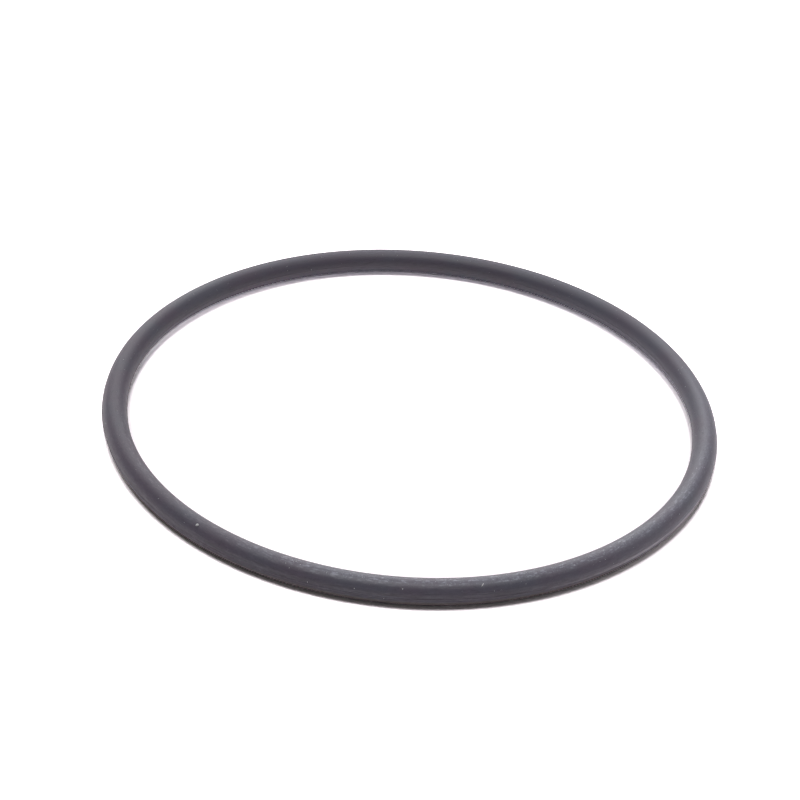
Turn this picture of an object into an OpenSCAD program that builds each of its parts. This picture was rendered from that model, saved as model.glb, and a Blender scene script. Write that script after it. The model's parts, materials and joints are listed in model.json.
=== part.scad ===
// Moulded rubber o-ring, lying flat. The origin is the centre of the ring, in the
// plane where the two halves of its mould met, and +Z runs along the ring's axis.

/* [Ring] */
// Inside diameter of the relaxed ring, measured on its round section
inside_d = 82.14; // [20:0.01:160]
// Diameter of the round section, which is also how tall the ring lies
section_d = 3.53; // [1.6:0.01:7]

/* [Mould parting line] */
// Width of the flat left where the flash was trimmed, along the ring's axis
flash_land_w = 0.12; // [0.05:0.01:0.3]
// How far that flat stands proud of the round section
flash_h = 0.07; // [0.03:0.01:0.1]

/* [Finish] */
// Colour of the rubber
rubber_colour = "#4b474c"; // [#4b474c:charcoal, #1c1b1d:black, #5a3a2c:brown]
// Sides that the preview draws round the ring, twice as many as round its section
ring_sides = 240; // [96:24:480]

/* [Hidden] */
section_r = section_d / 2;
// Radius of the line that runs through the middle of the section
core_r = (inside_d + section_d) / 2;
// The ridge is rooted inside the section by the width of its land
root_x = section_r - flash_land_w;
land_x = section_r + flash_h;
land_z = flash_land_w / 2;
// Its flanks slope at 45 degrees, so it widens by as much as it drops
root_z = land_z + land_x - root_x;
section_sides = ring_sides / 2;

// The round section, centred on its own middle.
module round_section() {
    circle(r = section_r, $fn = section_sides);
}

// A bar through the middle of the section, whose two ends stand out of it as the
// ridges that the mould left on the outer and the inner side of the ring. Each
// ridge has a narrow flat land on two sloping flanks.
module flash_ridges() {
    polygon([
        [-land_x, -land_z],
        [-root_x, -root_z],
        [root_x, -root_z],
        [land_x, -land_z],
        [land_x, land_z],
        [root_x, root_z],
        [-root_x, root_z],
        [-land_x, land_z]
    ]);
}

module ring_section() {
    round_section();
    flash_ridges();
}

// The ring: its section carried round the axis.
module o_ring() {
    color(rubber_colour)
        rotate_extrude($fn = ring_sides)
            translate([core_r, 0])
                ring_section();
}

o_ring();
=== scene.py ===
"""A moulded rubber o-ring lying on a white floor: its dull skin, the dust on it and the studio.

It runs as a script. The panel in the 3D view's sidebar lists the three steps, each of which can be run again
by itself.
"""
import json
import math

import bpy
import numpy as np
from mathutils import Matrix, Vector


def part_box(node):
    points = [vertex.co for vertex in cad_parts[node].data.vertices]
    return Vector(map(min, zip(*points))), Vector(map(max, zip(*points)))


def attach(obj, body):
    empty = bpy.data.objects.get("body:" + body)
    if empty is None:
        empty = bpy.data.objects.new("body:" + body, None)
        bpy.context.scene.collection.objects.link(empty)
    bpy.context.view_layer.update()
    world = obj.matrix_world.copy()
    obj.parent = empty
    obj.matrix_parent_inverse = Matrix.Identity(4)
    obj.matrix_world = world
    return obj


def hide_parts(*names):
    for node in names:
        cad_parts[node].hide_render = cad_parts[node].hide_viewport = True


bl_info = {
    "name": "Moulded O-Ring",
    "version": (1, 0, 0),
    "blender": (4, 5, 0),
    "location": "View3D > Sidebar > O-Ring",
    "description": "Builds a rubber o-ring with its moulded skin, parting ridge, dust and studio",
    "category": "Add Mesh",
}

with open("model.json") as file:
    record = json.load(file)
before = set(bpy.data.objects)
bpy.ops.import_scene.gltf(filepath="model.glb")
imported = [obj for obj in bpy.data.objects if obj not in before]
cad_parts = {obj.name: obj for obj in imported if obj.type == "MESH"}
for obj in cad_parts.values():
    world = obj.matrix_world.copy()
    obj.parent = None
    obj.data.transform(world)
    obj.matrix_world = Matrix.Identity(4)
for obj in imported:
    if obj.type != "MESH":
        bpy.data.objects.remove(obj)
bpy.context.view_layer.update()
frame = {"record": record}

NODE = "o_ring"
MM = 0.001
MOUNTS = {mount["name"]: mount["dims"] for mount in frame["record"]["mounts"]}

# The ring's sizes, all from the frame, in metres
SECTION_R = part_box(NODE)[1].z
OUTER_LAND_R = MOUNTS["outside"]["r_mm"] * MM
INNER_LAND_R = MOUNTS["inside"]["r_mm"] * MM
CORE_R = (OUTER_LAND_R + INNER_LAND_R) / 2
LAND_X = (OUTER_LAND_R - INNER_LAND_R) / 2
LAND_Z = MOUNTS["outside"]["length_mm"] * MM / 2
FLASH_H = LAND_X - SECTION_R
FLOOR_Z = -SECTION_R

# How the parting ridge is drawn: half the section angle that its close rows cover, and its corners' easing
RIDGE_HALF = math.radians(5.6)
RIDGE_EASE = 0.012 * MM
# The least share of the ridge's height that the trimming leaves
LEAST_TRIM = 0.15
# Length of the streaks that run along the ring beside the parting line
STREAK_LENGTH = 5 * MM
# Share of the light that the floor gives back
FLOOR_WHITE = 0.85

# The larger motes: the turn round the ring from the front and the section angle, in degrees, the length in
# millimetres, the width as a share of it, and the angle between the mote and the ring's run, in degrees
MOTES = (
    (-38, 61, 0.46, 0.9, 20),
    (-18, 88, 0.14, 0.7, 60),
    (-19.5, 64, 0.11, 0.8, 30),
    (-18.6, 48, 0.10, 0.9, 0),
    (-17, 76, 0.12, 0.9, 0),
    (-15, 10, 0.15, 0.7, 80),
    (-7, 24, 0.13, 0.9, 0),
    (-6, 78, 0.16, 0.6, 10),
    (-2, -6, 0.12, 0.8, 30),
    (1, 44, 0.20, 0.5, 70),
    (14.6, 60, 0.6, 0.2, 52),
    (30, 90, 0.13, 0.7, 40),
    (32, 72, 0.12, 0.8, 0),
    (39, 92, 0.16, 0.6, 15),
    (46, 86, 0.14, 0.6, 0),
    (73, 100, 0.12, 0.8, 50),
)

# The softboxes: the name, the turn from the front towards the right, the height above the floor and half the
# angle that the box takes up, in degrees as seen from the ring, and its brightness, where a white wall has 1
SOFTBOXES = (
    ("overhead_softbox", 32, 89, 11, 12.4),
    ("back_softbox", 188, 28, 26, 2.5),
    ("left_lamp", 271, 69, 8, 7.8),
    ("right_lamp", 100, 50, 8, 4.6),
    ("low_right_lamp", 96, 17, 8, 1.6),
)


class MouldSettings(bpy.types.PropertyGroup):
    """The ring's surface: how finely it is divided, and what the mould and the trimming left on it."""

    columns: bpy.props.IntProperty(
        name="Columns round the ring", description="How many times the section is drawn round the ring",
        default=1080, min=360, max=1100)
    trim_mean: bpy.props.FloatProperty(
        name="Flash left", description="How much of the ridge's height the trimming left, on average",
        default=0.66, min=0.2, max=0.9, subtype="FACTOR")
    trim_spread: bpy.props.FloatProperty(
        name="Flash variation", description="How much that share changes round the ring",
        default=0.3, min=0.0, max=0.4, subtype="FACTOR")
    waviness: bpy.props.FloatProperty(
        name="Waviness", description="How much the section's radius swells and shrinks, inwards only",
        default=0.008 * MM, min=0.0, max=0.05 * MM, unit="LENGTH", precision=6)
    seed: bpy.props.IntProperty(
        name="Seed", description="Picks another pattern of trimming and waviness", default=4, min=0)


class RubberSettings(bpy.types.PropertyGroup):
    """The rubber's colour and skin."""

    colour: bpy.props.FloatVectorProperty(
        name="Rubber", description="Colour of the clean rubber", subtype="COLOR",
        default=(0.064, 0.050, 0.073), min=0.0, max=1.0)
    cool_colour: bpy.props.FloatVectorProperty(
        name="Cool rubber", subtype="COLOR",
        description="Colour of the rubber where its carbon black lies closer to the skin",
        default=(0.060, 0.058, 0.080), min=0.0, max=1.0)
    deep_colour: bpy.props.FloatVectorProperty(
        name="Pits", description="Colour at the bottom of the pits and scores in the skin", subtype="COLOR",
        default=(0.030, 0.024, 0.035), min=0.0, max=1.0)
    # Warmer colour of the lower outer flank, a painted warm bounce light from the floor
    under_bounce_colour: bpy.props.FloatVectorProperty(
        name="Underside", description="Colour of the side that lies on the table, where no film has formed",
        subtype="COLOR", default=(0.066, 0.052, 0.050), min=0.0, max=1.0)
    # This colour also lays the painted sheen on top and the painted light on the right side and at the
    # back's inner foot
    bloom_and_light_colour: bpy.props.FloatVectorProperty(
        name="Bloom", description="Colour of the pale film that the rubber sweats out", subtype="COLOR",
        default=(0.30, 0.30, 0.36), min=0.0, max=1.0)
    # Also the colour of the painted highlight along the parting line's lip on the right
    worn_and_highlight_colour: bpy.props.FloatVectorProperty(
        name="Trimmed flash", description="Colour of the rubber that the trimming tore open",
        subtype="COLOR", default=(0.42, 0.38, 0.43), min=0.0, max=1.0)
    # Also where the painted sheen on top is strongest
    bloom_and_sheen_turn: bpy.props.FloatProperty(
        name="Bloom side",
        description="Where round the ring the film is thickest, from the front towards the right",
        default=math.radians(42), min=-math.pi, max=math.pi, subtype="ANGLE")
    roughness: bpy.props.FloatProperty(
        name="Roughness", description="Roughness of the skin",
        default=0.55, min=0.1, max=1.0, subtype="FACTOR")
    grain_size: bpy.props.FloatProperty(
        name="Grain size", description="Distance between two grains of the moulded skin",
        default=0.26 * MM, min=0.05 * MM, max=1.0 * MM, unit="LENGTH", precision=6)
    grain_depth: bpy.props.FloatProperty(
        name="Grain depth", description="Height of the grain",
        default=0.03 * MM, min=0.0, max=0.1 * MM, unit="LENGTH", precision=6)
    streak_width: bpy.props.FloatProperty(
        name="Streak width",
        description="Width of the streaks that run along the ring beside the parting line",
        default=0.22 * MM, min=0.05 * MM, max=1.0 * MM, unit="LENGTH", precision=6)


class DustSettings(bpy.types.PropertyGroup):
    """The dust that lies on the ring."""

    grains: bpy.props.IntProperty(
        name="Grains", description="Number of fine grains scattered over the whole ring",
        default=360, min=0, max=1500)
    grain_size: bpy.props.FloatProperty(
        name="Grain size", description="Mean width of the scattered grains",
        default=0.055 * MM, min=0.01 * MM, max=0.3 * MM, unit="LENGTH", precision=6)
    colour: bpy.props.FloatVectorProperty(
        name="Dust", description="Colour of the dust", subtype="COLOR",
        default=(0.66, 0.65, 0.67), min=0.0, max=1.0)
    seed: bpy.props.IntProperty(
        name="Seed", description="Picks another scatter", default=11, min=0)


class StudioSettings(bpy.types.PropertyGroup):
    """The camera, the light and the floor."""

    lens: bpy.props.FloatProperty(
        name="Focal length", description="Focal length in millimetres on a sensor 36 mm wide",
        default=96.1, min=20, max=300)
    distance: bpy.props.FloatProperty(
        name="Distance", description="From the camera to the middle of the ring",
        default=311.4 * MM, min=0.1, max=3.0, unit="LENGTH")
    elevation: bpy.props.FloatProperty(
        name="Elevation", description="Height of the camera above the floor, as an angle",
        default=math.radians(33.55), min=0.0, max=math.radians(90), subtype="ANGLE")
    roll: bpy.props.FloatProperty(
        name="Roll", description="How far the camera leans to its left about its own view",
        default=math.radians(4.29), min=math.radians(-30), max=math.radians(30), subtype="ANGLE")
    aim: bpy.props.FloatVectorProperty(
        name="Aim", description="Point in the ring's plane that the middle of the picture shows", size=2,
        default=(-1.67 * MM, 1.63 * MM), unit="LENGTH", precision=6)
    sky: bpy.props.FloatProperty(
        name="Sky", description="Strength of the plain light from all round",
        default=0.10, min=0.0, max=2.0)
    wall_top: bpy.props.FloatProperty(
        name="Wall", description="How high above the horizon the white wall reaches",
        default=math.radians(22), min=math.radians(5), max=math.radians(90), subtype="ANGLE")
    floor_half: bpy.props.FloatProperty(
        name="Floor", description="From the ring to the floor's edge",
        default=3.0, min=0.5, max=10.0, unit="LENGTH")
    overexposure: bpy.props.FloatProperty(
        name="Overexposure", description="How many times brighter than full white the floor shows",
        default=2.05, min=1.0, max=3.0)
    floor_tint: bpy.props.FloatVectorProperty(
        name="Floor tint", description="Tint that shows in the floor's shadows", subtype="COLOR",
        default=(1.0, 0.94, 0.97), min=0.0, max=1.0)


class Wire:
    """An output of a shader node. Arithmetic on wires adds the Math nodes that work it out."""

    def __init__(self, board, socket):
        self.board = board
        self.socket = socket

    def maths(self, operation, *terms):
        return self.board.add("ShaderNodeMath", {"operation": operation}, dict(enumerate(terms)))

    def __add__(self, other):
        return self.maths("ADD", self, other)

    def __sub__(self, other):
        return self.maths("SUBTRACT", self, other)

    def __mul__(self, other):
        return self.maths("MULTIPLY", self, other)

    def __truediv__(self, other):
        return self.maths("DIVIDE", self, other)

    def __rsub__(self, other):
        return self.maths("SUBTRACT", other, self)

    def __abs__(self):
        return self.maths("ABSOLUTE", self)

    __radd__ = __add__
    __rmul__ = __mul__

    def ramp(self, low, high):
        """0 up to low, 1 from high on, and a smooth step between them. low may be the greater."""
        sockets = {"Value": self, "From Min": low, "From Max": high}
        return self.board.add("ShaderNodeMapRange", {"interpolation_type": "SMOOTHSTEP"}, sockets)


class Board:
    """A node tree that is being wired."""

    def __init__(self, tree):
        self.tree = tree
        tree.nodes.clear()

    def add(self, kind, settings=None, sockets=None, output=0):
        """Adds a node, makes its settings, fills its sockets with values or wires, and gives an output."""
        node = self.tree.nodes.new(kind)
        for name, value in (settings or {}).items():
            setattr(node, name, value)
        for name, value in (sockets or {}).items():
            if isinstance(value, Wire):
                self.tree.links.new(value.socket, node.inputs[name])
            else:
                node.inputs[name].default_value = value
        return Wire(self, node.outputs[output]) if node.outputs else None

    def noise(self, place, size, detail=2.0, roughness=0.5):
        """Cloudy noise from 0 to 1 whose lumps are about size across."""
        sockets = {"Vector": place, "Scale": 1 / size, "Detail": detail, "Roughness": roughness}
        return self.add("ShaderNodeTexNoise", None, sockets)

    def blend(self, share, low, high):
        """The colour low where share is 0 and high where it is 1."""
        first, second = (c if isinstance(c, Wire) else (*c, 1.0) for c in (low, high))
        # A Mix node's factor is socket 0. For colours its two ends are 6 and 7, and its result is output 2.
        return self.add("ShaderNodeMix", {"data_type": "RGBA"}, {0: share, 6: first, 7: second}, output=2)


def new_material(name):
    """A material with an empty board."""
    material = bpy.data.materials.get(name) or bpy.data.materials.new(name)
    material.use_nodes = True
    return material, Board(material.node_tree)


def settings_of(context):
    """The scene's settings for this ring."""
    return context.scene.o_ring


def replace_object(name, data):
    """Puts an object of that name in the scene, in place of any that an earlier run left."""
    old = bpy.data.objects.get(name)
    if old is not None:
        bpy.data.objects.remove(old)
    piece = bpy.data.objects.new(name, data)
    bpy.context.scene.collection.objects.link(piece)
    return piece


def direction(azimuth, elevation):
    """The unit vector at a turn from the front towards the right and a height above the floor, as angles."""
    level = math.cos(elevation)
    return Vector((math.sin(azimuth) * level, -math.cos(azimuth) * level, math.sin(elevation)))


def ripple(turn, waves, seed):
    """A wavy curve round the ring, with mean 0 and a root mean square of 1.

    It is a sum of equal cosines, each with a seeded start and with a whole number of waves in a turn, so
    that the curve meets itself."""
    start = np.random.default_rng(seed).uniform(0, 2 * np.pi, len(waves))
    return np.cos(np.outer(turn, waves) + start).sum(axis=1) * math.sqrt(2 / len(waves))


def section_rows():
    """The section angles at which the skin is drawn.

    They are close together over the two parting ridges and even between them, and start and end underneath,
    at minus a quarter turn, where the ring touches the floor."""
    ridge = np.linspace(-RIDGE_HALF, RIDGE_HALF, 19)
    bare = np.linspace(RIDGE_HALF, np.pi - RIDGE_HALF, 27)[1:-1]
    rows = np.concatenate([ridge, bare, ridge + np.pi, bare + np.pi])
    return np.sort((rows + np.pi / 2) % (2 * np.pi) - np.pi / 2)


def section_reach(angle, trim):
    """How far the skin lies from the section's middle, for an angle and a share of the ridge's height.

    The angle is 0 at the outer side and a quarter turn at the top. The reach is the round section's radius,
    or the parting ridge's where that is more: the nearer of a land, at LAND_X over the cosine, and of a
    flank at 45 degrees, at LAND_X + LAND_Z over the sum of cosine and sine. Both choices are eased by
    hypotenuses that have RIDGE_EASE as one side."""
    along, up = np.abs(np.cos(angle)), np.abs(np.sin(angle))
    # The land is used only near the widest line, so the least cosine just keeps it finite
    land = LAND_X / np.maximum(along, 0.5)
    flank = (LAND_X + LAND_Z) / (along + up)
    ridge = (land + flank - np.hypot(land - flank, RIDGE_EASE)) / 2 - SECTION_R
    proud = (ridge + np.hypot(ridge, RIDGE_EASE)) / 2
    return SECTION_R + trim * np.where(up < along, proud, 0.0)


def ring_points(mould):
    """The skin's points as an array of columns, rows and coordinates.

    The section at each turn t is pushed out from the ring's middle line, a circle of radius R in the plane
    of the parting line: x = (R + d cos a) sin t, y = -(R + d cos a) cos t and z = d sin a, for the section
    angle a and the skin's reach d. The ridge's height varies round the ring, and so, on top, does d."""
    turn = np.arange(mould.columns) * 2 * np.pi / mould.columns
    angle = section_rows()
    slow = ripple(turn, np.array([1, 2, 3, 5]), mould.seed)
    quick = ripple(turn, np.array([17, 31, 47, 83, 139, 211]), mould.seed + 1)
    trim = np.clip(mould.trim_mean + mould.trim_spread * (0.6 * slow + 0.4 * quick), LEAST_TRIM, 1.0)
    swell = np.clip(0.5 + 0.25 * ripple(turn, np.array([3, 7, 12, 19]), mould.seed + 2), 0, 1)
    reach = section_reach(angle[None, :], trim[:, None])
    reach = reach - mould.waviness * swell[:, None] * (0.5 + 0.5 * np.sin(angle))[None, :]
    out = CORE_R + reach * np.cos(angle)
    across, depth = out * np.sin(turn)[:, None], -out * np.cos(turn)[:, None]
    return np.stack([across, depth, reach * np.sin(angle)], axis=-1)


def wrapped_quads(columns, rows):
    """The corners of every cell of a grid that meets itself both ways, in an order that faces outwards."""
    corner = np.arange(columns * rows).reshape(columns, rows)
    right, above = np.roll(corner, -1, axis=0), np.roll(corner, -1, axis=1)
    both = np.roll(right, -1, axis=1)
    return np.stack([corner, right, both, above], axis=-1).reshape(-1, 4)


def fold_map(mesh, columns, rows):
    """Lays the ring's skin out flat in a UV map.

    The ring is cut across into five strips of equal length, which lie above one another with a gap between
    them. The corners of a cell follow the order of wrapped_quads."""
    folds, gap = 5, 0.012
    reach = columns // folds
    column, row = np.divmod(np.arange(columns * rows), rows)
    fraction = np.append((section_rows() + np.pi / 2) / (2 * np.pi), 1.0)
    left, right = (column % reach) / reach, (column % reach + 1) / reach
    low, high = fraction[row], fraction[row + 1]
    along = np.stack([left, right, right, left], axis=-1)
    across = np.stack([low, low, high, high], axis=-1)
    strip = (column // reach)[:, None]
    first = gap + (1 - 2 * gap) * along
    second = (strip + folds * gap + (1 - 2 * folds * gap) * across) / folds
    spread = np.stack([first, second], axis=-1)
    mesh.uv_layers.new(name="OFBake").data.foreach_set("uv", spread.astype(np.float32).ravel())


def mesh_from(name, points, faces):
    """A smooth-shaded mesh from an array of points and an array of faces that all have as many corners."""
    mesh = bpy.data.meshes.new(name)
    count, corners = faces.shape
    mesh.vertices.add(len(points))
    mesh.vertices.foreach_set("co", points.astype(np.float32).ravel())
    mesh.loops.add(count * corners)
    mesh.loops.foreach_set("vertex_index", faces.astype(np.int32).ravel())
    mesh.polygons.add(count)
    mesh.polygons.foreach_set("loop_start", np.arange(0, count * corners, corners, dtype=np.int32))
    mesh.update(calc_edges=True)
    mesh.shade_smooth()
    return mesh


def finish_piece(piece, material):
    """Gives a piece its material and its body."""
    piece.data.materials.clear()
    piece.data.materials.append(material)
    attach(piece, "root")
    return piece


def from_axis(board):
    """The place's coordinates in the object, and how far it lies from the vertical axis."""
    axes = board.add("ShaderNodeSeparateXYZ", None, {0: board.add("ShaderNodeTexCoord", output="Object")})
    across, depth, height = (Wire(board, axes.socket.node.outputs[axis]) for axis in "XYZ")
    return across, depth, height, across.maths("SQRT", across * across + depth * depth)


def rubber_material(rubber):
    """Dull charcoal rubber with a moulded skin.

    The skin has a fine grain with pale flecks and dark pits, and streaks that run along the ring beside the
    parting line, where a band is also darker. A pale coat lies on top, thickest on one side, and carries a
    painted sheen there; the right side is paler with painted light. The trimmed edge of the flash is paler
    rubber that the trimming tore open, with a painted highlight along it on the right. The lower outer flank
    is duller, and warmer in colour with painted bounce light from the floor. Towards the back the skin is
    smoother, and paler on its crown and on the outer side at the back right, and its inner foot has painted
    light that takes out the shade where it meets the floor."""
    material, board = new_material("moulded_rubber")
    place = board.add("ShaderNodeTexCoord", output="Object")
    across, depth, height, radius = from_axis(board)
    # How high the place lies on the section and how far out, both in section radii
    up = height / SECTION_R
    out = (radius - CORE_R) / SECTION_R

    def side(turn):
        """1 where the ring has turned that far from the front, down to -1 on the opposite side."""
        return (across * math.sin(turn) - depth * math.cos(turn)) / CORE_R

    def along_ring(length, width):
        """Noise in lumps of that length along the ring and that width across it."""
        stretched = board.add("ShaderNodeCombineXYZ", None, {
            "X": across / length, "Y": depth / length, "Z": height / width})
        return board.add("ShaderNodeTexNoise", {"noise_dimensions": "4D"}, {
            "Vector": stretched, "W": radius / width, "Scale": 1.0, "Detail": 2.0})

    # Flecks and pits in the skin, drawn out along the ring
    grain = board.noise(place, rubber.grain_size, detail=3.0, roughness=0.65)
    cloud = board.noise(place, 30 * rubber.grain_size, detail=3.0)
    smear = along_ring(3.4 * rubber.grain_size, rubber.grain_size)
    fleck = (0.8 * smear.ramp(0.52, 0.68) + 0.7 * grain.ramp(0.56, 0.68)) * side(0.0).ramp(-0.2, 0.8)
    pit = 0.6 * smear.ramp(0.42, 0.30) + 0.6 * grain.ramp(0.42, 0.32)

    # Streaks and grooves on the outer and inner side, which fade towards the back
    streak = along_ring(STREAK_LENGTH, rubber.streak_width)
    scored = side(0.0).ramp(-0.8, 0.2)
    line = streak.ramp(0.50, 0.72) * scored
    groove = streak.ramp(0.46, 0.30) * scored
    beside = up.ramp(0.66, 0.25) * up.ramp(-0.30, -0.05)

    # The pale coat on the top with its painted sheen, the painted light on the right side, a paler outer
    # side at the back right, the painted light at the inner foot at the back, and a paler crown at the back
    # Mask of the right side, where light is painted: a paler skin, a painted highlight on the lip, a lighter
    # band beside the parting line
    right = side(math.radians(95)).ramp(0.25, 0.90)
    crest = up.ramp(0.5, 0.8) * out.ramp(-0.6, 0.0) * out.ramp(0.7, 0.2)
    # Pale coat on the top, partly a real coat and partly a painted sheen
    film_and_sheen = crest * side(rubber.bloom_and_sheen_turn).ramp(0.0, 0.7) * (0.45 + 1.1 * cloud) * (1 - 0.5 * pit)
    # Paler on the outer side at the back right
    pale_back_right = side(math.radians(130)).ramp(0.55, 0.95) * out.ramp(0.2, 0.8)
    inner = out.ramp(0.1, -0.3) * up.ramp(0.5, 0.8) * side(math.radians(-45)).ramp(0.3, 0.9)
    # Painted light at the inner foot at the back, which takes out the shade where the ring meets the floor
    foot = up.ramp(-0.45, -0.85) * out.ramp(0.0, -0.4) * (depth / CORE_R).ramp(0.0, 0.5)
    crown = up.ramp(0.85, 0.96) * out.ramp(0.27, 0.05) * side(math.radians(-170)).ramp(0.4, 0.95)
    # The pale coat and flecks, with the painted sheen and painted light, all laid in one pale colour
    bloom_and_painted_light = film_and_sheen * (0.21 + 0.43 * fleck) + (0.04 + 0.14 * inner) * fleck
    bloom_and_painted_light = bloom_and_painted_light + 0.09 * right + 0.20 * pale_back_right + 0.8 * foot + 0.12 * crown

    # The lip of the parting line, paler where the trimming tore it open, with a painted highlight on the
    # right
    lip = abs(height).ramp(LAND_Z + 3.6 * FLASH_H, LAND_Z + 0.6 * FLASH_H)
    torn_and_highlight = lip * (0.03 + 0.97 * right * out.ramp(-0.2, 0.2)) * (0.4 + 0.6 * streak.ramp(0.3, 0.6))

    # The colours, each laid over the one before
    # Painted warm bounce light from the floor on the lower outer flank
    under = up.ramp(-0.18, -0.42) * out.ramp(0.0, 0.4)
    clean = board.blend(cloud.ramp(0.35, 0.65), rubber.colour, rubber.cool_colour)
    # A band beside the parting line is darker, less so on the right
    deep = 0.5 * pit + beside * (0.6 - 0.5 * right + 0.7 * groove)
    worked = board.blend(deep, clean, rubber.deep_colour)
    base = board.blend(0.85 * under, worked, rubber.under_bounce_colour)
    filmed_and_lit = board.blend(bloom_and_painted_light, base, rubber.bloom_and_light_colour)
    streaked = board.blend(0.12 * beside * line, filmed_and_lit, rubber.bloom_and_light_colour)
    colour = board.blend(0.95 * torn_and_highlight, streaked, rubber.worn_and_highlight_colour)

    # Duller on the lower outer flank and the rim at the back, and smoother under the film
    low = up.ramp(0.25, -0.25) * out.ramp(0.0, 0.4) * (1 - 0.4 * right)
    rim = side(math.pi).ramp(0.6, 0.9) * out.ramp(-0.1, 0.3)
    worn = 0.1 * torn_and_highlight - 0.06 * film_and_sheen - 0.1 * fleck
    roughness = rubber.roughness + 0.12 * (grain - 0.5) + worn + 0.25 * low + 0.2 * rim
    relief = (grain + 0.9 * smear + 0.9 * beside * streak) * (0.35 + 0.65 * scored)
    bump = board.add("ShaderNodeBump", None, {"Distance": rubber.grain_depth, "Height": relief})
    skin = board.add("ShaderNodeBsdfPrincipled", None, {
        "Base Color": colour, "Roughness": roughness, "Normal": bump, "IOR": 1.5})
    board.add("ShaderNodeOutputMaterial", None, {"Surface": skin})
    return material


def dust_material(dust):
    """Pale matt dust, a little darker in places."""
    material, board = new_material("pale_dust")
    place = board.add("ShaderNodeTexCoord", output="Object")
    patch = board.noise(place, dust.grain_size)
    dim = tuple(0.6 * value for value in dust.colour)
    skin = board.add("ShaderNodeBsdfPrincipled", None, {
        "Base Color": board.blend(patch, dim, dust.colour), "Roughness": 0.8, "IOR": 1.45})
    board.add("ShaderNodeOutputMaterial", None, {"Surface": skin})
    return material


def bead():
    """A closed unit bead as points and triangles: points on a ball, in three level rings and two poles."""
    sides = 8
    slope = np.radians([-50, 0, 50])
    turn = np.arange(sides) * 2 * np.pi / sides
    level, rise = np.cos(slope)[:, None], np.sin(slope)[:, None]
    rings = np.stack([level * np.cos(turn), level * np.sin(turn), np.repeat(rise, sides, axis=1)], axis=-1)
    points = np.vstack([rings.reshape(-1, 3), [[0, 0, -1], [0, 0, 1]]])
    low, high = len(points) - 2, len(points) - 1
    near, far = np.arange(sides), np.roll(np.arange(sides), -1)
    faces = [np.column_stack([far, near, np.full(sides, low)])]
    for step in range(len(slope) - 1):
        lower, upper = step * sides, (step + 1) * sides
        faces.append(np.column_stack([near + lower, far + lower, far + upper]))
        faces.append(np.column_stack([near + lower, far + upper, near + upper]))
    last = (len(slope) - 1) * sides
    faces.append(np.column_stack([near + last, far + last, np.full(sides, high)]))
    return points, np.vstack(faces)


def dust_points(dust):
    """The dust as points and triangles: the placed motes first, then the scattered grains.

    Each is a bead that is stretched along its own length, turned about the skin's normal, and sunk to a
    third of its height where its turn and section angle put it on the ring."""
    random = np.random.default_rng(dust.seed)
    count = dust.grains
    # How far the scattered grains stray from the top, in radians, and how much their lengths differ
    stray, variety = 0.7, 0.35
    placed = np.array(MOTES, dtype=float)
    turn = np.concatenate([np.radians(placed[:, 0]), random.uniform(-np.pi, np.pi, count)])
    angle = np.concatenate([np.radians(placed[:, 1]), random.normal(np.pi / 2, stray, count)])
    length = np.concatenate([placed[:, 2] * MM, dust.grain_size * random.lognormal(0, variety, count)])
    slimness = np.concatenate([placed[:, 3], random.uniform(0.4, 1.0, count)])
    yaw = np.concatenate([np.radians(placed[:, 4]), random.uniform(0, np.pi, count)])
    width = length * slimness
    depth = 0.5 * width
    along = np.stack([np.cos(turn), np.sin(turn), 0 * turn], axis=-1)
    outward = np.stack([np.sin(turn), -np.cos(turn), 0 * turn], axis=-1)
    upward = np.array([0.0, 0.0, 1.0])
    normal = np.cos(angle)[:, None] * outward + np.sin(angle)[:, None] * upward
    around = -np.sin(angle)[:, None] * outward + np.cos(angle)[:, None] * upward
    first = np.cos(yaw)[:, None] * along + np.sin(yaw)[:, None] * around
    second = -np.sin(yaw)[:, None] * along + np.cos(yaw)[:, None] * around
    reach = SECTION_R + depth / 6
    middle = CORE_R * outward + reach[:, None] * normal
    points, faces = bead()
    grains = (middle[:, None] + points[None, :, :1] * (first * length[:, None] / 2)[:, None]
              + points[None, :, 1:2] * (second * width[:, None] / 2)[:, None]
              + points[None, :, 2:] * (normal * depth[:, None] / 2)[:, None])
    offsets = np.arange(len(turn))[:, None, None] * len(points)
    return grains.reshape(-1, 3), (faces[None] + offsets).reshape(-1, 3)


class ORING_OT_mould_ring(bpy.types.Operator):
    """Makes the ring's skin, with the parting ridges that the mould left and the knife trimmed"""

    bl_idname = "oring.mould_ring"
    bl_label = "Mould Ring"

    def execute(self, context):
        settings = settings_of(context)
        points = ring_points(settings.mould)
        columns, rows = points.shape[:2]
        mesh = mesh_from("moulded_ring", points.reshape(-1, 3), wrapped_quads(columns, rows))
        fold_map(mesh, columns, rows)
        piece = finish_piece(replace_object("moulded_ring", mesh), rubber_material(settings.rubber))
        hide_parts(NODE)
        return {"FINISHED"}


class ORING_OT_scatter_dust(bpy.types.Operator):
    """Lays the motes that can be seen and scatters fine dust over the ring"""

    bl_idname = "oring.scatter_dust"
    bl_label = "Scatter Dust"

    def execute(self, context):
        dust = settings_of(context).dust
        piece = replace_object("dust", mesh_from("dust", *dust_points(dust)))
        finish_piece(piece, dust_material(dust))
        return {"FINISHED"}


class ORING_OT_set_studio(bpy.types.Operator):
    """Sets the white floor, the lamps and the camera"""

    bl_idname = "oring.set_studio"
    bl_label = "Set Studio"

    def execute(self, context):
        studio = settings_of(context).studio
        context.scene.view_settings.view_transform = "Standard"
        lay_floor(studio)
        light_room(studio)
        set_camera(studio)
        return {"FINISHED"}


def seen_rays(board):
    """1 for the rays that show the background, which are those of the camera, of mirrors and of glass."""
    camera = board.add("ShaderNodeLightPath", output="Is Camera Ray")
    outputs = camera.socket.node.outputs
    glossy, through = (Wire(board, outputs[name]) for name in ("Is Glossy Ray", "Is Transmission Ray"))
    return camera.maths("MAXIMUM", camera.maths("MAXIMUM", camera, glossy), through)


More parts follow.
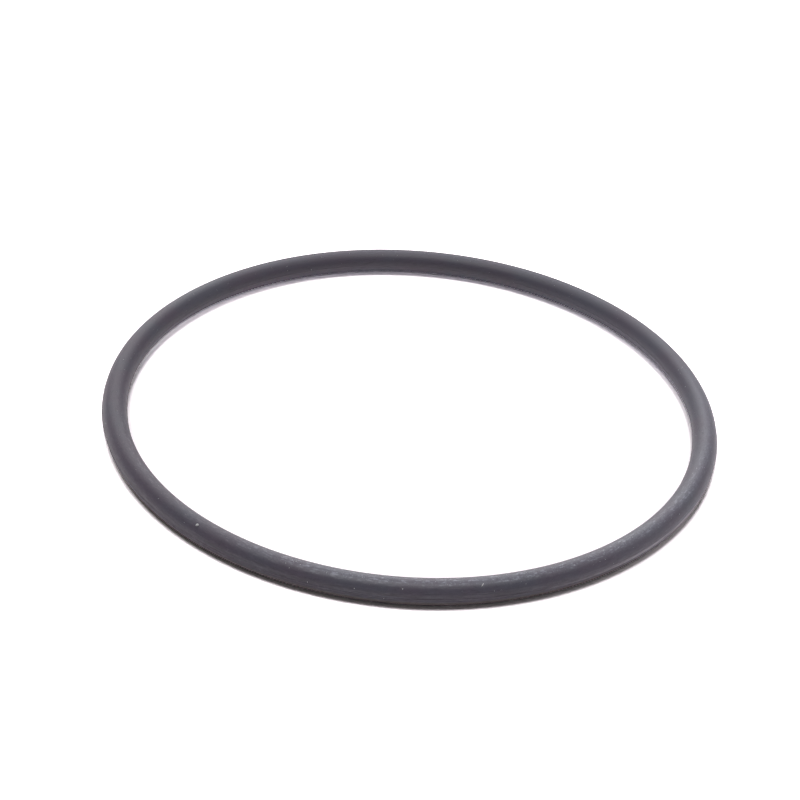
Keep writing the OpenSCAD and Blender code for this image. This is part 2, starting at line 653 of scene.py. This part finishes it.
def lay_floor(studio):
    """A wide white floor at the ring's underside, which keeps the ring's shadow.

    The rays that show the background see it brighter than it is, as an overexposed picture would, so it is
    white up to the ring's foot. How much brighter depends on how far the place lies beyond the ring's middle
    line, in section radii. It is less close to the foot in front, a painted shadow; more just past that on
    the left, painted light where the shadow ends sharply; and more at the inner foot at the back, painted
    light where the picture is soft."""
    corners = studio.floor_half * np.array([[-1, -1], [1, -1], [1, 1], [-1, 1]])
    points = np.column_stack([corners, np.full(4, FLOOR_Z)])
    floor = replace_object("floor", mesh_from("floor", points, np.array([[0, 1, 2, 3]])))
    material, board = new_material("white_floor")
    plain = board.add("ShaderNodeBsdfDiffuse", None, {"Color": (FLOOR_WHITE, FLOOR_WHITE, FLOOR_WHITE, 1)})

    # Layers of half the overexposure: one where times is 1, four where it is 4
    shown = [studio.overexposure / 2 * value for value in studio.floor_tint]
    layer = board.add("ShaderNodeBsdfDiffuse", None, {"Color": (*shown, 1)})
    double = board.add("ShaderNodeAddShader", None, {0: layer, 1: layer})
    fourfold = board.add("ShaderNodeAddShader", None, {0: double, 1: double})

    across, depth, _, radius = from_axis(board)
    beyond = (radius - CORE_R) / SECTION_R
    front = (depth / CORE_R).ramp(0.3, -0.3)
    right = (across / CORE_R).ramp(-0.2, 0.5)
    # Painted shadow close to the ring's foot in front
    dark = (beyond - 0.2 * right).ramp(0.84, 0.64) * front
    # Painted light just past the foot, in front towards the left
    lift = beyond.ramp(0.70, 0.90) * beyond.ramp(1.5, 1.1) * front * (1 - right)
    # Painted light at the inner foot at the back
    soft = beyond.ramp(-0.05, -0.35) * beyond.ramp(-1.0, -0.6) * (depth / CORE_R).ramp(0.0, 0.5)
    times = 2 - 0.8 * dark + 0.6 * lift + 1.8 * soft
    shaded = board.add("ShaderNodeMixShader", None, {0: (times - 1) / 3, 1: layer, 2: fourfold})
    mixed = board.add("ShaderNodeMixShader", None, {0: seen_rays(board), 1: plain, 2: shaded})
    board.add("ShaderNodeOutputMaterial", None, {"Surface": mixed})
    floor.data.materials.append(material)


def light_room(studio):
    """The softboxes, a faint even light from all round, and a white wall round the horizon.

    Only the rays that show the background see the wall. A softbox is a sun lamp as wide as the box looks,
    and its strength is pi times the squared sine of half its angle times its brightness."""
    world = bpy.data.worlds.get("studio") or bpy.data.worlds.new("studio")
    world.use_nodes = True
    board = Board(world.node_tree)
    height = board.add("ShaderNodeSeparateXYZ", None, {0: board.add("ShaderNodeTexCoord")}, output="Z")
    wall = height.ramp(math.sin(studio.wall_top), math.sin(studio.wall_top / 2)) * seen_rays(board)
    light = board.add("ShaderNodeBackground", None, {"Color": (1, 1, 1, 1), "Strength": studio.sky})
    white = board.add("ShaderNodeBackground", None, {"Color": (1, 1, 1, 1), "Strength": 1.0})
    mixed = board.add("ShaderNodeMixShader", None, {0: wall, 1: light, 2: white})
    board.add("ShaderNodeOutputWorld", None, {"Surface": mixed})
    bpy.context.scene.world = world
    for name, azimuth, elevation, half, brightness in SOFTBOXES:
        lamp = bpy.data.lights.get(name) or bpy.data.lights.new(name, "SUN")
        half = math.radians(half)
        lamp.angle = 2 * half
        lamp.energy = math.pi * math.sin(half) ** 2 * brightness
        towards = direction(math.radians(azimuth), math.radians(elevation))
        turn = towards.to_track_quat("Z", "Y").to_matrix().to_4x4()
        replace_object(name, lamp).matrix_world = Matrix.Translation(towards) @ turn


def set_camera(studio):
    """The camera at the picture's angle, turned about its own view by the roll."""
    data = bpy.data.cameras.get("camera") or bpy.data.cameras.new("camera")
    data.sensor_width = 36
    data.lens = studio.lens
    data.clip_start = 10 * MM
    data.clip_end = 20
    camera = replace_object("camera", data)
    place = studio.distance * direction(0, studio.elevation)
    view = Vector((*studio.aim, 0)) - place
    turn = view.to_track_quat("-Z", "Y").to_matrix().to_4x4() @ Matrix.Rotation(studio.roll, 4, "Z")
    camera.matrix_world = Matrix.Translation(place) @ turn
    bpy.context.scene.camera = camera


class RingSettings(bpy.types.PropertyGroup):
    """All the settings, in the groups that the panel shows."""

    mould: bpy.props.PointerProperty(type=MouldSettings, name="Mould", description="The ring's surface")
    rubber: bpy.props.PointerProperty(type=RubberSettings, name="Rubber", description="The ring's finish")
    dust: bpy.props.PointerProperty(type=DustSettings, name="Dust", description="The dust on the ring")
    studio: bpy.props.PointerProperty(
        type=StudioSettings, name="Studio", description="The camera, the light and the floor")


class ORING_PT_steps(bpy.types.Panel):
    """The steps and settings in the 3D view's sidebar."""

    bl_label = "O-Ring"
    bl_idname = "ORING_PT_steps"
    bl_space_type = "VIEW_3D"
    bl_region_type = "UI"
    bl_category = "O-Ring"

    def draw(self, context):
        settings = settings_of(context)
        steps = (("mould", None), ("rubber", ORING_OT_mould_ring), ("dust", ORING_OT_scatter_dust),
                 ("studio", ORING_OT_set_studio))
        for group, step in steps:
            box = self.layout.box()
            for name in getattr(settings, group).__annotations__:
                box.prop(getattr(settings, group), name)
            if step is not None:
                box.operator(step.bl_idname)


CLASSES = (
    MouldSettings, RubberSettings, DustSettings, StudioSettings, RingSettings,
    ORING_OT_mould_ring, ORING_OT_scatter_dust, ORING_OT_set_studio, ORING_PT_steps,
)


def register():
    for cls in CLASSES:
        bpy.utils.register_class(cls)
    bpy.types.Scene.o_ring = bpy.props.PointerProperty(type=RingSettings)


def unregister():
    del bpy.types.Scene.o_ring
    for cls in reversed(CLASSES):
        bpy.utils.unregister_class(cls)


def main():
    """Builds every piece."""
    register()
    bpy.ops.oring.mould_ring()
    bpy.ops.oring.scatter_dust()
    bpy.ops.oring.set_studio()


if __name__ == "__main__":
    main()
